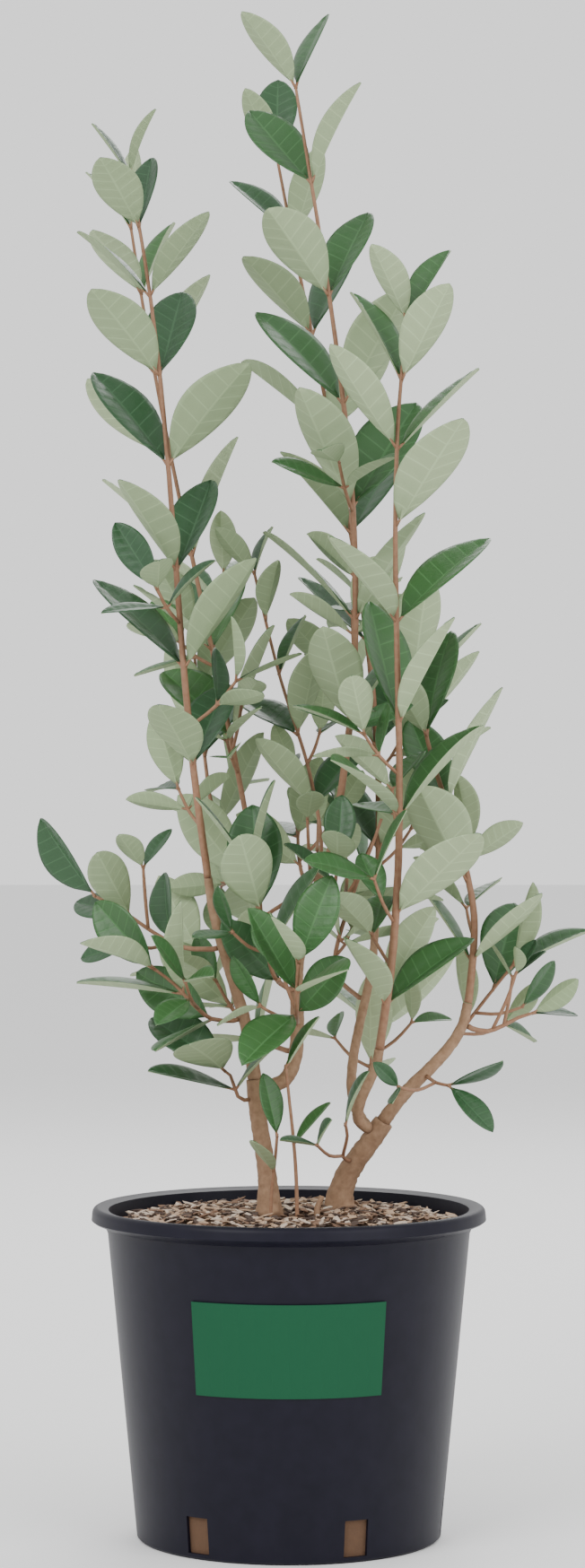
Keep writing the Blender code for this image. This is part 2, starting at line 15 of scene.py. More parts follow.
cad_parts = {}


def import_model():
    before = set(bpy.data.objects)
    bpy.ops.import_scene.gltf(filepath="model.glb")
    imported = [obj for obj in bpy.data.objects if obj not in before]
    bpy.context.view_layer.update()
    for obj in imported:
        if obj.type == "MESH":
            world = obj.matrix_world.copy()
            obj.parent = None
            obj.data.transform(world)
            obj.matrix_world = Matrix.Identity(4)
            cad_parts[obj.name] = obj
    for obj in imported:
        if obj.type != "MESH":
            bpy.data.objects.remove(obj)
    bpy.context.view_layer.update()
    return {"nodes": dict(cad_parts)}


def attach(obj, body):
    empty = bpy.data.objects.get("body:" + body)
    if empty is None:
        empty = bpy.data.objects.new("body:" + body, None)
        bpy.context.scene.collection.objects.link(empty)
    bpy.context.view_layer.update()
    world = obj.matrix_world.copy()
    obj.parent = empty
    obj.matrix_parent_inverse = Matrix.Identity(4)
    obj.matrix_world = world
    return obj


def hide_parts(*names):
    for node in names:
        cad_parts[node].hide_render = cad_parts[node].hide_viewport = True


# The camera, worked out from the pot's ellipses in the photograph. Its place is in metres, and its
# lens and sensor are in millimetres.
CAMERA_DISTANCE = 2.33
CAMERA_HEIGHT = 0.457
CAMERA_SIDE = 0.0022
CAMERA_LENS = 87.92
CAMERA_SENSOR = 36

# Studio light. Lamps: name, place, power in watts and size in metres. SKY_LIGHT is how strongly the
# surroundings light the shrub, and SKY_SEEN how bright the camera sees them.
LAMPS = (
    ("key", (-1.6, -2.2, 2.2), 55, 1.6),
    ("fill", (1.8, -1.8, 1.4), 30, 1.8),
    ("back", (0.4, 2.0, 2.0), 30, 1.6),
)
LAMP_TARGET = (0, 0, 0.45)
SKY_LIGHT = 1.15
SKY_SEEN = 1.3
FLOOR_SIZE = 30

# Colours. A pair is a base colour and the one that it is mottled towards. A mass of leaves lies
# between the dark and the light green above, and the grey and the pale green below.
UPPER_DARK = (0.014, 0.052, 0.022)
UPPER_LIGHT = (0.042, 0.130, 0.030)
UNDER_GREY = (0.25, 0.33, 0.18)
UNDER_PALE = (0.38, 0.47, 0.28)
TONE_RANGE = (0.1, 0.9)
UPPER_VEIN_GAIN = 1.35
UPPER_VEIN_LIFT = 0.02
UNDER_VEIN_GAIN = 1.18
UNDER_VEIN_LIMIT = 0.8
BARK_COLOURS = ((0.16, 0.085, 0.045), (0.42, 0.27, 0.17))
YOUNG_BARK_COLOURS = ((0.20, 0.085, 0.045), (0.34, 0.20, 0.12))
POT_COLOURS = ((0.004, 0.004, 0.009), (0.010, 0.009, 0.018))
SOIL_COLOURS = ((0.10, 0.06, 0.04), (0.13, 0.075, 0.045))
LABEL_COLOUR = (0.010, 0.075, 0.035)
FLOOR_COLOUR = (0.90, 0.90, 0.90)
CHIP_COLOURS = {
    "chip_tan": (0.42, 0.29, 0.20),
    "chip_brown": (0.20, 0.12, 0.08),
    "chip_dark": (0.07, 0.045, 0.035),
    "chip_pale": (0.52, 0.42, 0.34),
}

# Procedural materials. A mix node's colour sockets are found by their number, as its names repeat.
RELIEF_DEPTH = 0.0006
NOISE_DETAIL = 6
MIX_SHARE = 0
MIX_FIRST = 6
MIX_SECOND = 7
MIX_RESULT = 2

# Leaf blades. Rows and veins are shares of a leaf's length, and no corner lies past FARTHEST. Columns
# and the midrib's half width are shares of the half width. BLADE_THICKNESS is in metres, and the
# numbers for the rim and the midrib change it there.
BLADE_START = 0.06
BLADE_END = 0.998
LAST_ROW = 0.992
FARTHEST = 0.999
VEINS = 7
FIRST_VEIN = 0.9
VEIN_WIDTH = 0.010
SLANT = 0.085
PUCKER = 0.010
BLADE_THICKNESS = 0.0007
RIM_THICKNESS = 0.15
RIM_POWER = 6
LEAF_COLUMNS = (-1, -0.82, -0.6, -0.34, -0.045, 0.045, 0.34, 0.6, 0.82, 1)
MIDRIB_HALF = 0.1
MIDRIB_BELOW = 1.8
MIDRIB_ABOVE = 0.3

# Stems, limbs and leaf stalks: spacing of their rings in metres, sides of their sections, and
# unevenness of their radii as a share
STEM_RINGS = 0.006
STEM_SIDES = 10
STEM_RELIEF = 0.05
LIMB_RINGS = 0.0022
LIMB_SIDES = 28
LIMB_RELIEF = 0.07
STALK_SHARES = (0.05, 0.12)
STALK_RADII = (0.0011, 0.0009, 0.0006)
STALK_SIDES = 6
STALK_RELIEF = 0.03

# Bark chips on the soil, which keep clear of the feet of the trunks and shoots. Sizes are in metres,
# turns and tilts in radians, and the places of the feet in millimetres.
MULCH_COUNT = 1500
MULCH_RADIUS = 0.103
MULCH_FALL = 0.0052
MULCH_LIFT = (0.0006, 0.0042)
CHIP_LENGTH = (0.004, 0.014)
CHIP_WIDTH = (0.002, 0.006)
CHIP_THICKNESS = (0.0008, 0.0022)
CHIP_TURN = (0, 6.28)
CHIP_TILT = (-0.4, 0.4)
CHIP_ROUGHNESS = (-0.25, 0.25)
FOOT_CLEAR = 0.011
FEET = ((-12, 5), (31, 28), (17, -6), (-11, -15), (5, -17))

# The soil, flat in the middle
SOIL_TOP = 0.1940
SOIL_FLAT_RADIUS = 0.0620

# The round nursery pot. The steps are moves outward and upward from the lip's inner edge, from the
# lip's lower edge and from the top of the wall.
POT_HEIGHT = 0.2005
LIP_RADIUS = 0.1195
LIP_HEIGHT = 0.0090
LIP_ROUNDING = 0.0035
LIP_STEPS = 4
LIP_INNER_STEP = (0.0010, -0.0018)
LIP_LOWER_STEPS = ((0.0004, 0.0012), (-0.0012, 0))
WALL_TOP_STEPS = ((0.0006, -0.0030), (-0.0008, -0.0070))
WALL_TOP_RADIUS = 0.1108
BASE_RADIUS = 0.0922
BASE_ROUNDING = 0.0015
WALL_THICKNESS = 0.0022
FLOOR_THICKNESS = 0.0030
TURN_STEPS = 192
MERGE_DISTANCE = 0.00001
SLOT_COUNT = 6
SLOT_FIRST_ANGLE = -125.0
SLOT_WIDTH = 0.0150
SLOT_BOTTOM = 0.0036
SLOT_TOP = 0.0255
SLOT_DEPTH = 0.016
SHARP_ANGLE = 35

# Room left between neighbours, and the least height of a leaf, in metres
CLEAR = 0.0003
SIDE_CLEAR = 0.0004
LEAF_CLEAR = 0.0022
LOWEST_LEAF = 0.2045

# Stems, in metres. HANDLE_SHARE is how far a curve's handles reach, as a share of its span. A stem
# that runs along X by SIDEWAYS or more takes its first side from Z.
LIMB_POINTS = 8
LEAST_STEM_POINTS = 5
HANDLE_SHARE = 0.36
SIDEWAYS = 0.75
STEM_SPACING = 0.048
STRAIGHT_START = 0.0030
FLARE_HEIGHT = 0.0110
TIP_RADIUS = 0.0009

# Twigs: where they grow on a stem, as shares of its leafy part, their leaning in degrees and half
# their length in metres, and the number of turns tried for each. TWIG_LIFT bends their outer half up,
# and TWIG_FOOT is the share of a twig at its foot that isn't tested.
TWIG_RADIUS = 0.0011
TWIG_START = 0.02
TWIG_ZONE = 0.42
TWIG_SPREAD = (0.2, 0.8)
TWIG_LEAN = (42, 58)
TWIG_HALF_LENGTH = (0.013, 0.023)
TWIG_TURNS = 6
TWIG_LIFT = 0.35
TWIG_FOOT = 0.3

# Leaves, as shares of their own length or width. ROOT_DEPTH and TOP_OFFSET are in metres. UPTURN
# turns their faces up, and NEAR_SHARE is how near two leaves have to be for a test.
PETIOLE = 0.07
LEAF_WIDTH = 0.47
LEAF_THICKNESS = 0.020
ROOT_DEPTH = 0.0008
TOP_OFFSET = 0.0015
OUTLINE_SKEW = 1.16
OUTLINE_ROUNDNESS = 0.66
UPTURN = 0.6
NEAR_SHARE = 0.62
TEST_STATIONS = (0.16, 0.38, 0.60, 0.82, 0.99)

# How pairs change from the tip of a stem down, rank by rank, and how much they vary. FOOT_LEAF is
# the share of the length that leaves nearest the stem's foot keep.
LEAF_GROWTH = 0.11
INTERNODE_GROWTH = 0.13
TOP_LEANS = (0.66, 0.86, 1.0)
FOOT_LEAF = 0.84
LEAF_SPREAD = (0.9, 1.1)
LEAN_SPREAD = (-6, 6)
INTERNODE_SPREAD = (0.94, 1.06)

# The two pairs of a twig: share of its length and leaning, and the length of their leaves
TWIG_PAIRS = ((0.97, 40), (0.52, 52))
TWIG_LEAF = (0.46, 0.62)

# Ranges of a single leaf's leaning, turn, roll, width, fold and bend. Angles are in degrees.
LEAF_TRAITS = ((-5, 5), (-12, 12), (-26, 26), (0.90, 1.12), (6, 26), (-0.05, 0.14))

# Changes tried in turn where a leaf would meet something: leaning, turning in degrees, length
LEAF_TRIES = (
    (0, 0, 1.0),
    (-10, 0, 1.0),
    (9, 0, 1.0),
    (0, 22, 1.0),
    (0, -22, 1.0),
    (-16, 0, 0.86),
    (8, 14, 0.82),
    (8, -14, 0.82),
    (-8, 36, 0.80),
    (-8, -36, 0.80),
    (0, 0, 0.66),
)

Limb = namedtuple("Limb", "name points radii")
Leaf = namedtuple("Leaf", "base axis face length width fold bend")
Mass = namedtuple("Mass", "name stem twigs leaves")

# Trunks and boughs. Places are in millimetres, radii too. where is 1 at the host's tip, and a pair
# of millimetres for a limb that stands in the soil. flare widens the root.
LimbPlan = namedtuple("LimbPlan", "name host where tip heading foot_radius tip_radius flare")
LIMBS = (
    LimbPlan("left_trunk", "soil", (-12, 5), (-21, 3, 277), (-0.05, 0, 1), 5.6, 4.8, 3.2),
    LimbPlan("right_trunk", "soil", (31, 28), (58, 19, 250), (0.55, -0.1, 1), 7.0, 6.0, 3.0),
    LimbPlan("dead_stub", "soil", (17, -6), (20, -7, 207), (0.25, 0, 1), 1.9, 1.6, 0),
    LimbPlan("left_bough", "left_trunk", 1, (-49, -9, 400), (-0.1, -0.05, 1), 4.2, 2.5, 0),
    LimbPlan("middle_bough", "left_trunk", 0.93, (7, 18, 359), (0.25, 0.12, 1), 4.4, 3.9, 0),
    LimbPlan("centre_bough", "middle_bough", 1, (29, 17, 432), (0.1, 0, 1), 3.6, 2.5, 0),
    LimbPlan("inner_bough", "middle_bough", 0.9, (-22, 36, 414), (-0.28, 0.2, 1), 2.4, 1.9, 0),
    LimbPlan("right_arm", "right_trunk", 1, (110, 26, 322), (0.1, 0, 1), 4.4, 3.0, 0),
    LimbPlan("right_bough", "right_trunk", 0.88, (55, -2, 296), (0.02, -0.35, 1), 3.4, 2.9, 0),
    LimbPlan("back_bough", "right_trunk", 0.84, (54, 76, 366), (0, 0.22, 1), 3.4, 2.4, 0),
)

# Masses of leaves. Places, radii and lengths are in millimetres, angles in degrees. bare is the
# length without leaves at the stem's foot. internode is the space between two pairs and leaf their
# length, and top_internode and top_leaf are the shares of these at the tip. turn is the way that the
# top pair faces, and lean how far leaves lean out from the stem.
MassPlan = namedtuple(
    "MassPlan",
    "name host where tip heading radius bare internode top_internode leaf top_leaf turn lean twigs",
)
MASS_ROWS = (
    ("whip_centre", "centre_bough", 1, (4, 5, 883), (-0.16, 0, 1),
     2.4, 20, 66, 0.92, 84, 0.70, 50, 40, 4),
    ("whip_left", "left_bough", 1, (-96, -25, 825), (-0.20, 0, 1),
     2.4, 8, 61, 0.55, 84, 0.52, -26, 42, 3),
    ("whip_right", "right_bough", 1, (70, -60, 733), (0.12, 0, 1),
     2.8, 16, 58, 0.58, 82, 0.68, 42, 42, 4),
    ("whip_left_back", "inner_bough", 1, (-99, 66, 806), (-0.14, 0, 1),
     1.8, 12, 60, 0.70, 78, 0.70, -40, 42, 4),
    ("whip_centre_back", "back_bough", 1, (-8, 96, 856), (-0.18, 0, 1),
     2.3, 14, 66, 0.80, 80, 0.72, 48, 40, 4),
    ("whip_right_back", "right_arm", 1, (76, 30, 525), (-0.14, 0, 1),
     2.6, 14, 50, 0.80, 84, 0.80, -40, 40, 2),
    ("whip_inner", "inner_bough", 0.5, (-22, 62, 590), (-0.12, 0, 1),
     1.3, 26, 48, 0.60, 58, 0.70, 35, 44, 4),
    ("back_whip_left", "inner_bough", 0.75, (-62, 122, 556), (-0.1, 0.05, 1),
     1.6, 22, 52, 0.7, 76, 0.8, 40, 42, 2),
    ("back_whip_right", "back_bough", 0.68, (84, 128, 520), (0.12, 0.08, 1),
     1.6, 22, 50, 0.7, 78, 0.8, 10, 42, 2),
    ("spray_left_low", "left_bough", 0.3, (-82, -20, 346), (-1, -0.05, 0.5),
     1.5, 14, 27, 0.85, 68, 0.9, 55, 44, 1),
    ("spray_left_far", "left_bough", 0.66, (-120, 16, 389), (-1, 0.05, 0.4),
     1.6, 24, 30, 0.85, 64, 0.9, 35, 44, 2),
    ("spray_left_foot", "left_trunk", 0.86, (-40, -9, 284), (-1, -0.2, 0.2),
     1.3, 8, 18, 0.8, 72, 1.0, 60, 60, 0),
    ("spray_right_far", "right_arm", 0.86, (152, 34, 316), (1, 0.05, 0.12),
     1.8, 14, 22, 0.80, 46, 0.80, 50, 52, 2),
    ("spray_right_high", "right_arm", 0.7, (140, 44, 346), (0.7, 0.1, 0.8),
     1.4, 12, 24, 0.85, 66, 0.90, 60, 40, 2),
    ("spray_right_low", "right_arm", 0.42, (98, -8, 274), (0.8, -0.3, -0.1),
     1.3, 12, 20, 0.85, 50, 0.9, 80, 46, 1),
    ("spray_right_foot", "right_trunk", 0.52, (34, -16, 252), (-0.3, -0.5, 0.6),
     1.2, 8, 20, 0.80, 48, 0.85, 40, 44, 1),
    ("spray_front", "middle_bough", 0.52, (6, -58, 352), (0.1, -0.4, 1),
     1.6, 14, 32, 0.75, 68, 0.8, 50, 44, 2),
    ("spray_back_left", "middle_bough", 0.34, (-58, 92, 352), (-0.5, 0.6, 0.7),
     1.7, 22, 30, 0.8, 66, 0.85, 50, 44, 2),
    ("spray_back_right", "back_bough", 0.3, (66, 142, 340), (0.2, 0.8, 0.6),
     1.7, 20, 30, 0.8, 66, 0.85, 15, 44, 2),
    ("spray_back_middle", "centre_bough", 0.45, (4, 100, 446), (-0.1, 0.6, 1),
     1.5, 18, 34, 0.8, 66, 0.85, 30, 42, 2),
    ("spray_middle_left", "middle_bough", 0.72, (-22, -26, 404), (-0.3, -0.2, 1),
     1.5, 12, 28, 0.85, 66, 0.9, 35, 44, 2),
    ("spray_middle_right", "centre_bough", 0.25, (56, -14, 436), (0.3, -0.2, 1),
     1.5, 12, 28, 0.85, 68, 0.9, -40, 44, 2),
    ("base_shoot_front", "soil", (-11, -15), (-7, -20, 246),
     (0.05, -0.1, 1), 1.1, 8, 24, 0.9, 44, 1.0, -40, 46, 0),
    ("base_shoot_tall", "soil", (5, -17), (-2, -24, 288),
     (-0.1, -0.1, 1), 1.2, 24, 26, 0.9, 46, 0.9, 35, 42, 0),
)
MASSES = [MassPlan(*row) for row in MASS_ROWS]


def blend(a, b, share):
    """The number or point that lies at that share of the way from a to b."""
    return a + (b - a) * share


def across(vector, axis):
    """The part of a vector that is square to an axis, one unit long."""
    return (vector - axis * vector.dot(axis)).normalized()


def turned(side, axis, degrees):
    """A direction square to the axis, turned about it."""
    angle = math.radians(degrees)
    return side * math.cos(angle) + axis.cross(side) * math.sin(angle)


def smooth_stem(start, leave, end, arrive, count):
    """Points of a stem that leaves start along one direction and reaches end along another."""
    first = start + leave * STRAIGHT_START
    reach = (end - first).length * HANDLE_SHARE
    a, b = first + leave * reach, end - arrive * reach
    points = [start]
    for i in range(count):
        t = i / (count - 1)
        u = 1 - t
        points.append(first * u**3 + a * (3 * t * u * u) + b * (3 * t * t * u) + end * t**3)
    return points


def distances(points):
    """Distance of each point from the first, along the stem."""
    total = [0.0]
    for before, after in zip(points, points[1:]):
        total.append(total[-1] + (after - before).length)
    return total


def side_frames(points):
    """A direction square to the stem at each of its points, carried along without twisting."""
    frames = []
    for i in range(len(points)):
        along = (points[min(i + 1, len(points) - 1)] - points[max(i - 1, 0)]).normalized()
        start = Vector((1, 0, 0)) if abs(along.x) < SIDEWAYS else Vector((0, 0, 1))
        frames.append(across(frames[-1] if frames else start, along))
    return frames


def place_on(stem, distance):
    """Point, direction, side and radius at a distance from the foot of a stem."""
    along = distances(stem.points)
    i = 0
    while i < len(along) - 2 and along[i + 1] < distance:
        i += 1
    share = (distance - along[i]) / (along[i + 1] - along[i])
    direction = (stem.points[i + 1] - stem.points[i]).normalized()
    side = across(side_frames(stem.points)[i], direction)
    point = blend(stem.points[i], stem.points[i + 1], share)
    return point, direction, side, blend(stem.radii[i], stem.radii[i + 1], share)


def leave_host(host, where, toward, limbs):
    """Start and leaving direction of a stem in the soil, or at the tip or on the side of its host."""
    if host == "soil":
        return Vector((where[0] / 1000, where[1] / 1000, SOIL_TOP + CLEAR)), Vector((0, 0, 1))
    points = limbs[host].points
    if where == 1:
        leave = (points[-1] - points[-2]).normalized()
        return points[-1] + leave * CLEAR, leave
    point, along, _, radius = place_on(limbs[host], distances(points)[-1] * where)
    leave = across(toward - point, along)
    return point + leave * (radius + SIDE_CLEAR), leave


def grow_limb(plan, limbs):
    """One trunk or bough."""
    end = Vector(plan.tip) / 1000
    start, leave = leave_host(plan.host, plan.where, end, limbs)
    points = smooth_stem(start, leave, end, Vector(plan.heading).normalized(), LIMB_POINTS)
    along = distances(points)
    radii = []
    for distance in along:
        radius = blend(plan.foot_radius, plan.tip_radius, distance / along[-1])
        radii.append((radius + plan.flare * math.exp(-distance / FLARE_HEIGHT)) / 1000)
    return Limb(plan.name, points, radii)


def grow_stem(plan, limbs):
    """The one stem of a mass, on from its bough, trunk or the soil."""
    end = Vector(plan.tip) / 1000
    start, leave = leave_host(plan.host, plan.where, end, limbs)
    count = max(LEAST_STEM_POINTS, round((end - start).length / STEM_SPACING))
    points = smooth_stem(start, leave, end, Vector(plan.heading).normalized(), count)
    along = distances(points)
    radii = [blend(plan.radius / 1000, TIP_RADIUS, distance / along[-1]) for distance in along]
    return Limb(plan.name, points, radii)


def tube_tree(stem, extra, skipped=0.0):
    """Search tree of a stem's four-sided outline, made wider by extra and without its first share."""
    first = skipped * distances(stem.points)[-1]
    start, _, _, radius = place_on(stem, first)
    kept = [i for i, distance in enumerate(distances(stem.points)) if distance > first + 1e-5]
    points = [start] + [stem.points[i] for i in kept]
    radii = [radius] + [stem.radii[i] for i in kept]
    corners = []
    for i, (point, side) in enumerate(zip(points, side_frames(points))):
        along = (points[min(i + 1, len(points) - 1)] - points[max(i - 1, 0)]).normalized()
        for quarter in range(4):
            corners.append(point + turned(side, along, 90 * quarter) * (radii[i] + extra))
    faces = [(0, 1, 2, 3)]
    for i in range(len(points) - 1):
        for j in range(4):
            k = (j + 1) % 4
            faces.append((4 * i + j, 4 * i + k, 4 * i + 4 + k, 4 * i + 4 + j))
    faces.append(tuple(len(corners) - 4 + j for j in range(4)))
    return BVHTree.FromPolygons(corners, faces)


def outline(share):
    """Half width of a leaf, as a share of its widest, at a share of its length."""
    along = (share - PETIOLE) / (1 - PETIOLE)
    return math.sin(math.pi * along**OUTLINE_SKEW) ** OUTLINE_ROUNDNESS if 0 < along < 1 else 0.0


def blade_point(leaf, share, side):
    """Point on a leaf's middle surface: share is 1 at its tip, side is -1 and 1 at its edges."""
    half = side * outline(share) * leaf.width / 2
    point = leaf.base + leaf.axis * (leaf.length * share)
    point -= leaf.face * (leaf.bend * leaf.length * share * share)
    point += leaf.axis.cross(leaf.face) * (half * math.cos(leaf.fold))
    return point + leaf.face * (abs(half) * math.sin(leaf.fold))


def leaf_tree(leaf, extra):
    """Search tree of a leaf's blade, made thicker and wider by extra."""
    aside = leaf.axis.cross(leaf.face)
    corners = []
    for share in TEST_STATIONS:
        left, middle, right = (blade_point(leaf, share, side) for side in (-1, 0, 1))
        up = leaf.face * (leaf.length * LEAF_THICKNESS / 2 + extra)
        wider = aside * extra
        corners += [left - wider + up, middle + up, right + wider + up]
        corners += [right + wider - up, middle - up, left - wider - up]
    faces = [tuple(range(6))]
    for i in range(len(TEST_STATIONS) - 1):
        for j in range(6):
            k = (j + 1) % 6
            faces.append((6 * i + j, 6 * i + k, 6 * i + 6 + k, 6 * i + 6 + j))
    faces.append(tuple(len(corners) - 6 + j for j in range(6)))
    return BVHTree.FromPolygons(corners, faces), min(corner.z for corner in corners)


def grow_twigs(plan, stem, wood, chance):
    """Short twigs in the axils of the lower part of a mass's stem, clear of all other wood."""
    total = distances(stem.points)[-1]
    bare = plan.bare / 1000
    twigs = []
    for i in range(plan.twigs):
        share = blend(TWIG_START, TWIG_ZONE, (i + chance.uniform(*TWIG_SPREAD)) / plan.twigs)
        point, along, side, _ = place_on(stem, blend(bare, total, share))
        first_turn, lean = chance.uniform(0, 360), math.radians(chance.uniform(*TWIG_LEAN))
        half = chance.uniform(*TWIG_HALF_LENGTH)
        for step in range(TWIG_TURNS):
            out = turned(side, along, first_turn + 360 / TWIG_TURNS * step)
            axis = along * math.cos(lean) + out * math.sin(lean)
            lift = (axis + Vector((0, 0, TWIG_LIFT))).normalized()
            points = [point, point + axis * half, point + (axis + lift) * half]
            twig = Limb(f"{plan.name}_twig", points, [TWIG_RADIUS, TWIG_RADIUS, TIP_RADIUS])
            tree = tube_tree(twig, LEAF_CLEAR, TWIG_FOOT)
            if not any(tree.overlap(other) for other in wood):
                twigs.append(twig)
                wood.append(tube_tree(twig, LEAF_CLEAR))
                break
    return twigs


def pair_sites(plan, stem, twigs, chance):
    """The places of a mass's pairs: stem, distance from its foot, turn, leaning and leaf length."""
    sites = []
    total = distances(stem.points)[-1]
    down, rank = TOP_OFFSET, 0
    while total - down > plan.bare / 1000:
        length = plan.leaf / 1000 * min(1.0, plan.top_leaf + LEAF_GROWTH * rank)
        near_foot = total - down < (plan.bare + plan.internode) / 1000
        length *= (FOOT_LEAF if near_foot else 1.0) * chance.uniform(*LEAF_SPREAD)
        lean = plan.lean * TOP_LEANS[min(rank, 2)] + chance.uniform(*LEAN_SPREAD)
        sites.append((stem, total - down, plan.turn + 90 * rank, lean, length))
        step = plan.internode / 1000 * min(1.0, plan.top_internode + INTERNODE_GROWTH * rank)
        down, rank = down + step * chance.uniform(*INTERNODE_SPREAD), rank + 1
    for twig in twigs:
        reach, turn = distances(twig.points)[-1], chance.uniform(0, 180)
        for order, (share, lean) in enumerate(TWIG_PAIRS):
            length = plan.leaf / 1000 * chance.uniform(*TWIG_LEAF)
            sites.append((twig, reach * share, turn + 90 * order, lean, length))
    return sites


def grow_leaf(site, opposite, change, traits):
    """One leaf of a pair, leaned, turned and shortened by the change."""
    stem, distance, turn, lean, length = site
    lean_change, turn_change, length_change = change
    lean_jitter, turn_jitter, roll, width, fold, bend = traits
    point, along, side, _ = place_on(stem, distance)
    out = turned(side, along, turn + 180 * opposite + turn_jitter + turn_change)
    angle = math.radians(lean + lean_jitter + lean_change)
    axis = along * math.cos(angle) + out * math.sin(angle)
    inward = along * math.sin(angle) - out * math.cos(angle)
    face = turned(across(inward + Vector((0, 0, UPTURN)), axis), axis, roll)
    length *= length_change
    base = point - axis * ROOT_DEPTH
    return Leaf(base, axis, face, length, length * LEAF_WIDTH * width, math.radians(fold), bend)


def grow_leaves(plan, stem, twigs, wood, others, chance):
    """The leaves of a mass. One that would meet wood or another leaf is moved, and else skipped."""
    leaves = []
    for site in pair_sites(plan, stem, twigs, chance):
        for opposite in (0, 1):
            traits = [chance.uniform(*span) for span in LEAF_TRAITS]
            for change in LEAF_TRIES:
                leaf = grow_leaf(site, opposite, change, traits)
                tree, lowest = leaf_tree(leaf, LEAF_CLEAR)
                middle = blade_point(leaf, 0.5, 0)
                near = [o for o in others if (o[0] - middle).length < (leaf.length + o[1]) * NEAR_SHARE]
                if lowest < LOWEST_LEAF or any(tree.overlap(other) for other in wood):
                    continue
                if not any(tree.overlap(other[2]) for other in near):
                    leaves.append(leaf)
                    others.append((middle, leaf.length, leaf_tree(leaf, 0)[0]))
                    break
    return leaves


def grow_plant():
    """All limbs, then the masses: every stem first, then the twigs, then the leaves."""
    limbs = {}
    for plan in LIMBS:
        limbs[plan.name] = grow_limb(plan, limbs)
    stems = [grow_stem(plan, limbs) for plan in MASSES]
    wood = [tube_tree(stem, LEAF_CLEAR / 2) for stem in (*limbs.values(), *stems)]
    chances = [random.Random(plan.name) for plan in MASSES]
    twigs = [grow_twigs(plan, stem, wood, c) for plan, stem, c in zip(MASSES, stems, chances)]
    others, masses = [], []
    for plan, stem, own, chance in zip(MASSES, stems, twigs, chances):
        masses.append(Mass(plan.name, stem, own, grow_leaves(plan, stem, own, wood, others, chance)))
    return list(limbs.values()), masses


def material(name, colour, roughness, bump=0.0, scale=200.0, second=None, gloss=0.3):
    """A procedural material: a base colour, mottled towards a second one, with a fine relief."""
    made = bpy.data.materials.new(name)
    made.use_nodes = True
    nodes, links = made.node_tree.nodes, made.node_tree.links
    shader = nodes["Principled BSDF"]
    shader.inputs["Base Color"].default_value = (*colour, 1)
    shader.inputs["Roughness"].default_value = roughness
    shader.inputs["Specular IOR Level"].default_value = gloss
    noise = nodes.new("ShaderNodeTexNoise")
    noise.inputs["Scale"].default_value = scale
    noise.inputs["Detail"].default_value = NOISE_DETAIL
    place = nodes.new("ShaderNodeTexCoord")
    links.new(place.outputs["Object"], noise.inputs["Vector"])
    if second:
        mottle = nodes.new("ShaderNodeMix")
        mottle.data_type = "RGBA"
        mottle.inputs[MIX_FIRST].default_value = (*colour, 1)
        mottle.inputs[MIX_SECOND].default_value = (*second, 1)
        links.new(noise.outputs["Fac"], mottle.inputs[MIX_SHARE])
        links.new(mottle.outputs[MIX_RESULT], shader.inputs["Base Color"])
    if bump:
        relief = nodes.new("ShaderNodeBump")
        relief.inputs["Strength"].default_value = bump
        relief.inputs["Distance"].default_value = RELIEF_DEPTH
        links.new(noise.outputs["Fac"], relief.inputs["Height"])
        links.new(relief.outputs["Normal"], shader.inputs["Normal"])
    return made


def new_mesh_object(name, bm):
    """An object in the scene made from a bmesh."""
    mesh = bpy.data.meshes.new(name)
    bm.to_mesh(mesh)
    bm.free()
    obj = bpy.data.objects.new(name, mesh)
    bpy.context.scene.collection.objects.link(obj)
    return obj


def piece(name, bm, materials, slot, *nodes):
    """A smooth piece that stands for its CAD nodes. The whole shrub is one body, the root."""
    obj = new_mesh_object(name, bm)
    for one in materials:
        obj.data.materials.append(one)
    obj.data.shade_smooth()
    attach(obj, "root")
    if nodes:
        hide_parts(*nodes)
    return obj


def add_tube(bm, points, radii, sides, relief, chance):
    """A closed tapering tube with an uneven skin."""
    rings = []
    for i, (point, side) in enumerate(zip(points, side_frames(points))):
        along = (points[min(i + 1, len(points) - 1)] - points[max(i - 1, 0)]).normalized()
        ring = []
        for j in range(sides):
            radius = radii[i] * (1 + chance.uniform(-relief, relief))
            ring.append(bm.verts.new(point + turned(side, along, 360 * j / sides) * radius))
        rings.append(ring)
    for lower, upper in zip(rings, rings[1:]):
        for j in range(sides):
            k = (j + 1) % sides
            bm.faces.new((lower[j], lower[k], upper[k], upper[j]))
    bm.faces.new(list(reversed(rings[0])))
    bm.faces.new(rings[-1])


def finer(stem, spacing):
    """Points and radii of a stem at a closer spacing, on a smooth curve through its own points."""
    points, radii = [], []
    known = stem.points
    for i in range(len(known) - 1):
        before = known[max(i - 1, 0)]
        after = known[min(i + 2, len(known) - 1)]
        a, b = known[i], known[i + 1]
        steps = max(1, round((b - a).length / spacing))
        for step in range(steps):
            t = step / steps
            point = a * 2 + (b - before) * t + (before * 2 - a * 5 + b * 4 - after) * t * t
            point += (a * 3 - before - b * 3 + after) * t**3
            points.append(point / 2)
            radii.append(blend(stem.radii[i], stem.radii[i + 1], t))
    return points + [known[-1]], radii + [stem.radii[-1]]


def leaf_rows():
    """Places along a blade, in pairs at each side vein, and whether a vein starts there."""
    rows = [(BLADE_START, False)]
    for i in range(VEINS):
        vein = blend(BLADE_START, 1, (i + FIRST_VEIN) / (VEINS + FIRST_VEIN))
        halfway = vein + 0.5 * (1 - BLADE_START) / (VEINS + FIRST_VEIN)
        rows += [(vein, True), (vein + VEIN_WIDTH, False), (halfway, False)]
    return [row for row in rows if row[0] < LAST_ROW] + [(BLADE_END, False)]


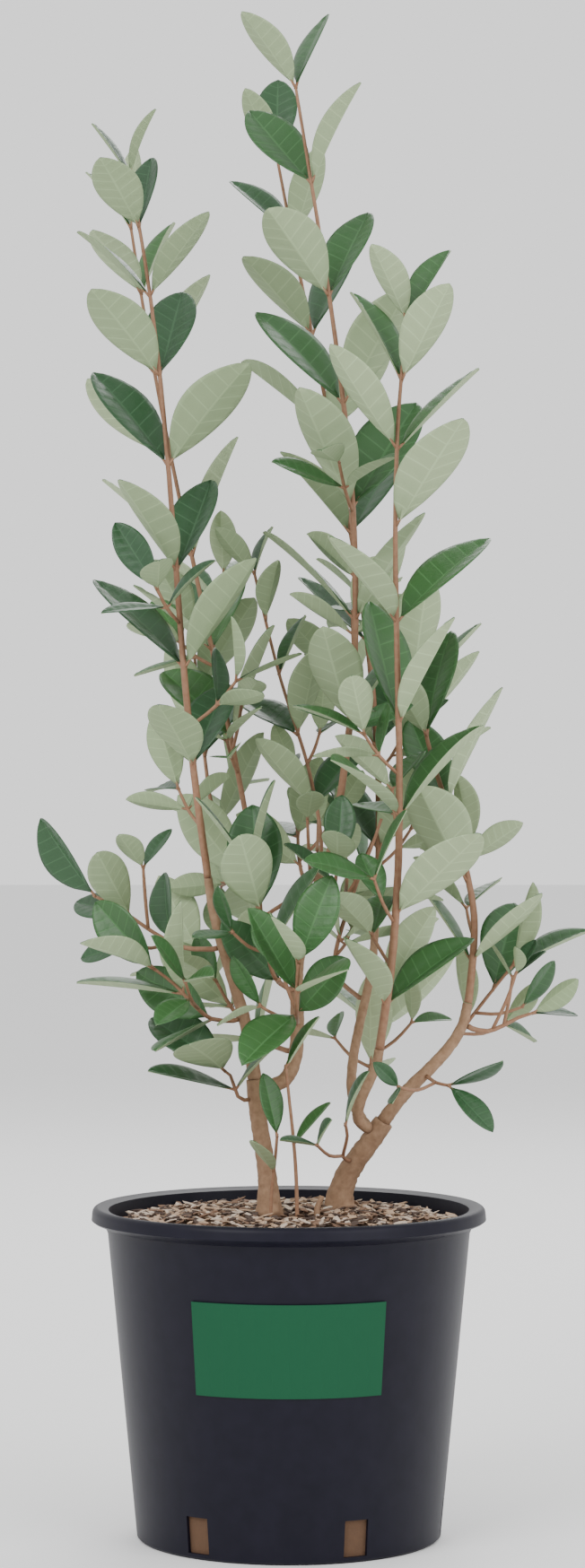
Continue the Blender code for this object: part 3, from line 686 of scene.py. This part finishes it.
def add_layer(bm, leaf, rows, upper):
    """The upper or the under side of a blade, as lines of corners, which swells between its veins."""
    grid = []
    for share, _ in rows:
        between_veins = math.sin(share * math.pi * (VEINS + FIRST_VEIN)) ** 2
        line = []
        for side in LEAF_COLUMNS:
            on_midrib = abs(side) < MIDRIB_HALF
            place = share + SLANT * abs(side) * 4 * share * (1 - share)
            point = blade_point(leaf, min(place, FARTHEST), side)
            bulge = 0 if on_midrib and not upper else PUCKER * math.sin(math.pi * abs(side))
            point += leaf.face * (bulge * leaf.length * between_veins)
            rim = 1 - abs(side) ** RIM_POWER
            thick = BLADE_THICKNESS * (RIM_THICKNESS + rim) / 2
            if on_midrib:
                thick *= MIDRIB_ABOVE if upper else MIDRIB_BELOW
            line.append(bm.verts.new(point + leaf.face * (thick if upper else -thick)))
        grid.append(line)
    return grid


def add_blade(bm, leaf):
    """A leaf's blade: a thin closed shell. Materials: upper side, under side and the veins of each."""
    rows = leaf_rows()
    under = add_layer(bm, leaf, rows, False)
    upper = add_layer(bm, leaf, rows, True)
    last, edge = len(rows) - 1, len(LEAF_COLUMNS) - 1
    for i in range(last):
        for j in range(edge):
            vein = rows[i][1] or j == edge // 2
            top = bm.faces.new((upper[i][j], upper[i][j + 1], upper[i + 1][j + 1], upper[i + 1][j]))
            top.material_index = 2 if vein else 0
            below = bm.faces.new((under[i][j], under[i + 1][j], under[i + 1][j + 1], under[i][j + 1]))
            below.material_index = 3 if vein else 1
    for i in (0, last):
        for j in range(edge):
            bm.faces.new((under[i][j], under[i][j + 1], upper[i][j + 1], upper[i][j]))
    for i in range(last):
        for j in (0, edge):
            bm.faces.new((under[i][j], under[i + 1][j], upper[i + 1][j], upper[i][j]))


def make_leaves(mass):
    """The leaves of one mass in one piece, in the colours of its spray."""
    bm = bmesh.new()
    for leaf in mass.leaves:
        add_blade(bm, leaf)
    bmesh.ops.recalc_face_normals(bm, faces=bm.faces)
    tone = random.Random(mass.name).uniform(*TONE_RANGE)
    green = tuple(blend(a, b, tone) for a, b in zip(UPPER_DARK, UPPER_LIGHT))
    pale = tuple(blend(a, b, tone) for a, b in zip(UNDER_GREY, UNDER_PALE))
    green_vein = tuple(level * UPPER_VEIN_GAIN + UPPER_VEIN_LIFT for level in green)
    pale_vein = tuple(min(level * UNDER_VEIN_GAIN, UNDER_VEIN_LIMIT) for level in pale)
    looks = [
        material(mass.name + "_upper", green, roughness=0.40, bump=0.5, scale=260, gloss=0.45),
        material(mass.name + "_under", pale, roughness=0.75, bump=0.3, scale=500),
        material(mass.name + "_vein_upper", green_vein, roughness=0.45),
        material(mass.name + "_vein_under", pale_vein, roughness=0.7),
    ]
    piece(mass.name + "_leaves", bm, looks, "leaves", mass.name)


def make_stems(masses):
    """The stems, twigs and leaf stalks of all masses, in one piece."""
    bm = bmesh.new()
    chance = random.Random("stems")
    for mass in masses:
        for stem in (mass.stem, *mass.twigs):
            points, radii = finer(stem, STEM_RINGS)
            add_tube(bm, points, radii, STEM_SIDES, STEM_RELIEF, chance)
        for leaf in mass.leaves:
            stalk = [leaf.base, *(blade_point(leaf, share, 0) for share in STALK_SHARES)]
            add_tube(bm, stalk, STALK_RADII, STALK_SIDES, STALK_RELIEF, chance)
    colour, second = YOUNG_BARK_COLOURS
    young = material("young_bark", colour, roughness=0.6, bump=0.4, scale=300, second=second)
    piece("stems_and_stalks", bm, [young], "bark")


def make_limbs(limbs):
    """Trunks and boughs with the bark's relief, each its own piece in place of its CAD node."""
    colour, second = BARK_COLOURS
    bark = material("bark", colour, roughness=0.85, bump=0.9, scale=260, second=second)
    for limb in limbs:
        bm = bmesh.new()
        points, radii = finer(limb, LIMB_RINGS)
        add_tube(bm, points, radii, LIMB_SIDES, LIMB_RELIEF, random.Random(limb.name))
        piece(limb.name + "_bark", bm, [bark], "bark", limb.name)


def add_chip(bm, place, chance, looks):
    """One uneven chip or sliver of bark, lying nearly flat."""
    size = [chance.uniform(*span) for span in (CHIP_LENGTH, CHIP_WIDTH, CHIP_THICKNESS)]
    turn = Matrix.Rotation(chance.uniform(*CHIP_TURN), 4, "Z")
    turn = turn @ Matrix.Rotation(chance.uniform(*CHIP_TILT), 4, "Y")
    corners = bmesh.ops.create_icosphere(bm, subdivisions=1, radius=0.5)["verts"]
    for corner in corners:
        rough = Vector([level * (1 + chance.uniform(*CHIP_ROUGHNESS)) for level in corner.co])
        corner.co = place + turn @ Vector([level * side for level, side in zip(rough, size)])
    look = chance.randrange(looks)
    for face in {face for corner in corners for face in corner.link_faces}:
        face.material_index = look


def make_mulch():
    """Bark chips and slivers that lie on the soil, inside the pot's lip."""
    chance = random.Random("mulch")
    looks = []
    for name, colour in CHIP_COLOURS.items():
        looks.append(material(name, colour, roughness=0.9, bump=0.6, scale=300))
    bm = bmesh.new()
    for _ in range(MULCH_COUNT):
        reach = MULCH_RADIUS * math.sqrt(chance.random())
        angle = chance.uniform(0, 2 * math.pi)
        place = Vector((reach * math.cos(angle), reach * math.sin(angle), 0))
        if any((place - Vector((*foot, 0)) / 1000).length < FOOT_CLEAR for foot in FEET):
            continue
        fall = max(0.0, (reach - SOIL_FLAT_RADIUS) / (MULCH_RADIUS - SOIL_FLAT_RADIUS))
        place.z = SOIL_TOP - fall * MULCH_FALL + chance.uniform(*MULCH_LIFT)
        add_chip(bm, place, chance, len(looks))
    piece("bark_chips", bm, looks, "soil").data.shade_flat()


def wall_radius(height):
    """Outer radius of the pot's wall at a height."""
    return blend(BASE_RADIUS, WALL_TOP_RADIUS, height / (POT_HEIGHT - LIP_HEIGHT))


def make_turned(name, profile):
    """A turned shape from its half profile, which runs down its outer side."""
    bm = bmesh.new()
    corners = [bm.verts.new((radius, 0, height)) for radius, height in profile]
    for before, after in zip(corners, corners[1:]):
        bm.edges.new((before, after))
    obj = new_mesh_object(name, bm)
    screw = obj.modifiers.new("turn", "SCREW")
    screw.steps = TURN_STEPS
    screw.render_steps = TURN_STEPS
    screw.use_merge_vertices = True
    screw.merge_threshold = MERGE_DISTANCE
    return obj


def pot_profile():
    """Half the section of the pot, from the middle of its floor over the lip to its underside."""
    lip_bottom = POT_HEIGHT - LIP_HEIGHT
    inner_top = WALL_TOP_RADIUS - WALL_THICKNESS
    profile = [
        (0, FLOOR_THICKNESS),
        (wall_radius(FLOOR_THICKNESS) - WALL_THICKNESS, FLOOR_THICKNESS),
        (inner_top, lip_bottom),
        (inner_top + LIP_INNER_STEP[0], POT_HEIGHT + LIP_INNER_STEP[1]),
    ]
    for i in range(LIP_STEPS + 1):
        angle = math.radians(90 - 90 / LIP_STEPS * i)
        radius = LIP_RADIUS - LIP_ROUNDING + LIP_ROUNDING * math.cos(angle)
        profile.append((radius, POT_HEIGHT - LIP_ROUNDING + LIP_ROUNDING * math.sin(angle)))
    profile += [(LIP_RADIUS + outward, lip_bottom + upward) for outward, upward in LIP_LOWER_STEPS]
    profile += [(WALL_TOP_RADIUS + outward, lip_bottom + upward) for outward, upward in WALL_TOP_STEPS]
    return profile + [
        (wall_radius(BASE_ROUNDING), BASE_ROUNDING),
        (BASE_RADIUS - BASE_ROUNDING, 0),
        (0, 0),
    ]


def make_pot():
    """The pot with the same profile and drain slots as its solid, which it replaces, but rounder."""
    pot = make_turned("pot_wall", pot_profile())
    cutters = []
    for i in range(SLOT_COUNT):
        bpy.ops.mesh.primitive_cube_add(size=1)
        cutter = bpy.context.object
        turn = Matrix.Rotation(math.radians(SLOT_FIRST_ANGLE + i * 360 / SLOT_COUNT), 4, "Z")
        place = turn @ Matrix.Translation((BASE_RADIUS, 0, (SLOT_BOTTOM + SLOT_TOP) / 2))
        size = (SLOT_DEPTH, SLOT_WIDTH, SLOT_TOP - SLOT_BOTTOM, 1)
        cutter.matrix_world = place @ Matrix.Diagonal(size)
        cut = pot.modifiers.new("slot", "BOOLEAN")
        cut.operation = "DIFFERENCE"
        cut.object = cutter
        cutters.append(cutter)
    bpy.context.view_layer.update()
    mesh = bpy.data.meshes.new_from_object(pot.evaluated_get(bpy.context.evaluated_depsgraph_get()))
    bm = bmesh.new()
    bm.from_mesh(mesh)
    bpy.data.meshes.remove(mesh)
    for old in [pot, *cutters]:
        bpy.data.objects.remove(old)
    colour, second = POT_COLOURS
    relief = {"bump": 0.12, "scale": 90}
    plastic = material("pot_plastic", colour, roughness=0.42, second=second, gloss=0.16, **relief)
    shell = piece("pot_shell", bm, [plastic], "pot", "pot")
    shell.data.set_sharp_from_angle(angle=math.radians(SHARP_ANGLE))


def finish_nodes(nodes):
    """Materials of the two CAD nodes that keep their shape."""
    colour, second = SOIL_COLOURS
    looks = {
        "soil": material("soil", colour, roughness=0.95, bump=1.0, scale=260, second=second, gloss=0.1),
        "label": material("label", LABEL_COLOUR, roughness=0.6, bump=0.05, scale=300, gloss=0.1),
    }
    for name, look in looks.items():
        nodes[name].data.materials.clear()
        nodes[name].data.materials.append(look)


def make_light():
    """A plain pale floor and soft studio light."""
    bpy.ops.mesh.primitive_plane_add(size=FLOOR_SIZE)
    floor = bpy.context.object
    floor.name = "floor"
    floor.data.materials.append(material("floor", FLOOR_COLOUR, roughness=0.8))
    world = bpy.data.worlds.new("studio")
    world.use_nodes = True
    nodes, links = world.node_tree.nodes, world.node_tree.links
    nodes["Background"].inputs["Color"].default_value = (1, 1, 1, 1)
    strength = nodes.new("ShaderNodeMapRange")
    strength.inputs["To Min"].default_value = SKY_LIGHT
    strength.inputs["To Max"].default_value = SKY_SEEN
    links.new(nodes.new("ShaderNodeLightPath").outputs["Is Camera Ray"], strength.inputs["Value"])
    links.new(strength.outputs["Result"], nodes["Background"].inputs["Strength"])
    bpy.context.scene.world = world
    for name, place, power, size in LAMPS:
        lamp = bpy.data.objects.new(name, bpy.data.lights.new(name, "AREA"))
        lamp.data.energy = power
        lamp.data.size = size
        lamp.location = place
        toward = Vector(LAMP_TARGET) - Vector(place)
        lamp.rotation_euler = toward.to_track_quat("-Z", "Y").to_euler()
        bpy.context.scene.collection.objects.link(lamp)


def make_camera():
    """The camera at the photograph's viewing angle."""
    camera = bpy.data.objects.new("camera", bpy.data.cameras.new("camera"))
    camera.location = (CAMERA_SIDE, -CAMERA_DISTANCE, CAMERA_HEIGHT)
    camera.rotation_euler = (math.pi / 2, 0, 0)
    camera.data.lens = CAMERA_LENS
    camera.data.sensor_width = CAMERA_SENSOR
    bpy.context.scene.collection.objects.link(camera)
    bpy.context.scene.camera = camera


def main():
    """Builds the whole scene on the frame."""
    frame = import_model()
    limbs, masses = grow_plant()
    make_limbs(limbs)
    make_stems(masses)
    for mass in masses:
        make_leaves(mass)
    make_mulch()
    make_pot()
    finish_nodes(frame["nodes"])
    make_light()
    make_camera()


main()
